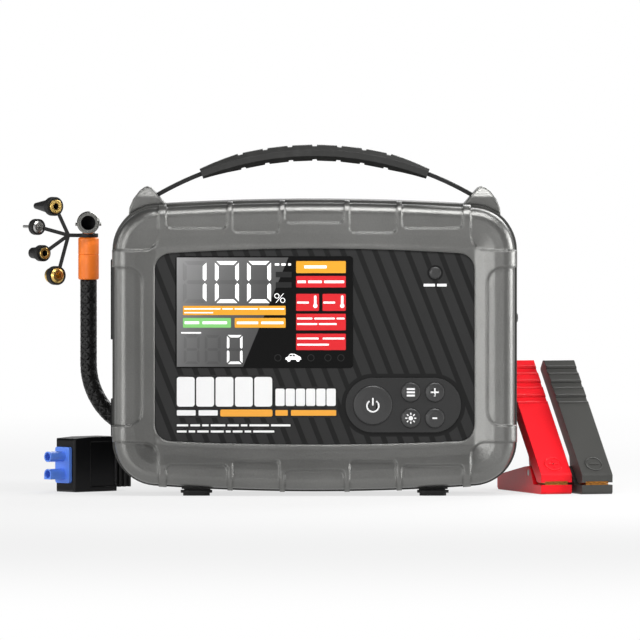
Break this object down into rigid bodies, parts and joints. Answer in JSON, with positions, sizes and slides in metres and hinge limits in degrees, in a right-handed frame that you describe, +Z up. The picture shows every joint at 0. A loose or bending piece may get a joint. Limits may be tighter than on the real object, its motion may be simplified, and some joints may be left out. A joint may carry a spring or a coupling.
{
  "type": "jump starter pack",
  "caption": "Portable jump starter and tyre inflator with a ribbed frame, carrying handle, air hose, nozzle adapters, plug box and clamps.",
  "frame": {"origin": "centre of the pack's footprint, on the surface that its feet stand on", "axes": "+Z up, +X along the case to the side with the torch, -Y towards the face with the display"},
  "size_m": [0.3669, 0.1159, 0.2162],
  "materials": {
    "frame_plastic": "satin, fine grain",
    "shell_plastic": "satin, fine grain",
    "panel_plastic": "satin with a printed stripe",
    "black_plastic": "satin",
    "button_plastic": "satin",
    "window_glass": "clear, dark",
    "lens_clear": "frosted",
    "rubber_black": "matt",
    "steel": "bright",
    "chrome": "polished",
    "gear_steel": "machined",
    "aluminium": "cast",
    "brass": "satin",
    "copper_plate": "plated",
    "pouch": "foil",
    "board_green": "lacquered",
    "orange_rubber": "matt",
    "blue_plastic": "gloss",
    "red_plastic": "satin",
    "clamp_black": "satin",
    "braid": "woven braid",
    "clear_tube": "milky"
  },
  "bodies": {
    "pack": {"front_frame": "frame_plastic", "middle_shell": "shell_plastic", "rear_cover": "shell_plastic", "case_screws": "steel", "face_panel": "panel_plastic", "display_window": "window_glass", "lcd_module": "board_green", "control_plate": "button_plastic", "handle_strap": "rubber_black", "handle_grip": "rubber_black", "horn_left": "frame_plastic", "horn_right": "frame_plastic", "strap_pins": "steel", "feet": "rubber_black", "usb_ports": "black_plastic", "jump_socket": "blue_plastic", "lamp_lens": "lens_clear", "main_board": "board_green", "battery_cells": "pouch", "battery_tray": "black_plastic", "compressor_motor": "steel", "piston": "aluminium", "pump_cylinder": "aluminium", "air_line": "clear_tube", "hose_outlet": "black_plastic", "air_hose": "braid", "sleeve_lower": "orange_rubber", "sleeve_upper": "orange_rubber", "chuck_body": "chrome", "adapter_strap": "rubber_black", "cone_adapter": "black_plastic", "needle_adapter": "chrome", "tube_adapter": "black_plastic", "brass_adapter": "brass", "module_case": "clamp_black", "module_boot": "rubber_black", "ec5_plug": "blue_plastic", "red_lower_arm": "red_plastic", "red_spring": "steel", "black_lower_arm": "clamp_black", "black_spring": "steel", "lower_jaws": "copper_plate", "clamp_pins": "steel"},
    "power_key": {"power_button": "button_plastic"},
    "mode_key": {"mode_button": "button_plastic"},
    "plus_key": {"plus_button": "button_plastic"},
    "light_key": {"light_button": "button_plastic"},
    "minus_key": {"minus_button": "button_plastic"},
    "force_start_key": {"force_start_button": "button_plastic"},
    "side_key": {"side_button": "button_plastic"},
    "usb_flap": {"usb_port_cover": "rubber_black"},
    "jump_flap": {"jump_port_cover": "rubber_black"},
    "collar": {"chuck_collar": "chrome"},
    "crank": {"crank_gear": "gear_steel"},
    "rotor": {"motor_pinion": "brass", "cooling_fan": "black_plastic"},
    "red_handle": {"red_upper_arm": "red_plastic", "red_upper_jaw": "copper_plate"},
    "black_handle": {"black_upper_arm": "clamp_black", "black_upper_jaw": "copper_plate"}
  },
  "joints": [
    {"name": "power_press", "type": "slide", "parent": "pack", "child": "power_key", "axis": [0, 1, 0], "range_m": [0, 0.0008], "stiffness_N_per_m": 900, "springref_m": -0.0008},
    {"name": "mode_press", "type": "slide", "parent": "pack", "child": "mode_key", "axis": [0, 1, 0], "range_m": [0, 0.0008], "stiffness_N_per_m": 700, "springref_m": -0.0008},
    {"name": "plus_press", "type": "slide", "parent": "pack", "child": "plus_key", "axis": [0, 1, 0], "range_m": [0, 0.0008], "stiffness_N_per_m": 700, "springref_m": -0.0008},
    {"name": "light_press", "type": "slide", "parent": "pack", "child": "light_key", "axis": [0, 1, 0], "range_m": [0, 0.0008], "stiffness_N_per_m": 700, "springref_m": -0.0008},
    {"name": "minus_press", "type": "slide", "parent": "pack", "child": "minus_key", "axis": [0, 1, 0], "range_m": [0, 0.0008], "stiffness_N_per_m": 700, "springref_m": -0.0008},
    {"name": "force_start_press", "type": "slide", "parent": "pack", "child": "force_start_key", "axis": [0, 1, 0], "range_m": [0, 0.0008], "stiffness_N_per_m": 700, "springref_m": -0.0008},
    {"name": "side_press", "type": "slide", "parent": "pack", "child": "side_key", "axis": [-1, 0, 0], "range_m": [0, 0.0008], "stiffness_N_per_m": 700, "springref_m": -0.0008},
    {"name": "usb_flap_hinge", "type": "hinge", "parent": "pack", "child": "usb_flap", "pos_m": [-0.125, 0.0175, 0.1205], "axis": [0, 0, -1], "range_deg": [0, 90]},
    {"name": "jump_flap_hinge", "type": "hinge", "parent": "pack", "child": "jump_flap", "pos_m": [-0.125, 0.013, 0.0474], "axis": [0, 0, -1], "range_deg": [0, 90]},
    {"name": "collar_spin", "type": "hinge", "parent": "pack", "child": "collar", "pos_m": [-0.141, 0.042, 0.167], "axis": [0, 1, 0], "continuous": true},
    {"name": "crank_spin", "type": "hinge", "parent": "pack", "child": "crank", "pos_m": [0.048, 0.008, 0.0571], "axis": [1, 0, 0], "continuous": true},
    {"name": "rotor_spin", "type": "hinge", "parent": "pack", "child": "rotor", "pos_m": [0.048, 0.008, 0.032], "axis": [1, 0, 0], "continuous": true},
    {"name": "red_clamp_hinge", "type": "hinge", "parent": "pack", "child": "red_handle", "pos_m": [0.14187, 0.01373, 0.0125], "axis": [-0.9511, -0.309, 0], "range_deg": [0, 25], "stiffness_Nm_per_rad": 1, "springref_deg": -28.65, "deforming": ["red_spring"]},
    {"name": "black_clamp_hinge", "type": "hinge", "parent": "pack", "child": "black_handle", "pos_m": [0.16707, 0.01373, 0.0125], "axis": [-0.9511, -0.309, 0], "range_deg": [0, 25], "stiffness_Nm_per_rad": 1, "springref_deg": -28.65, "deforming": ["black_spring"]}
  ],
  "couplings": [
    {"joint": "rotor_spin", "follows": "crank_spin", "ratio": -4}
  ]
}
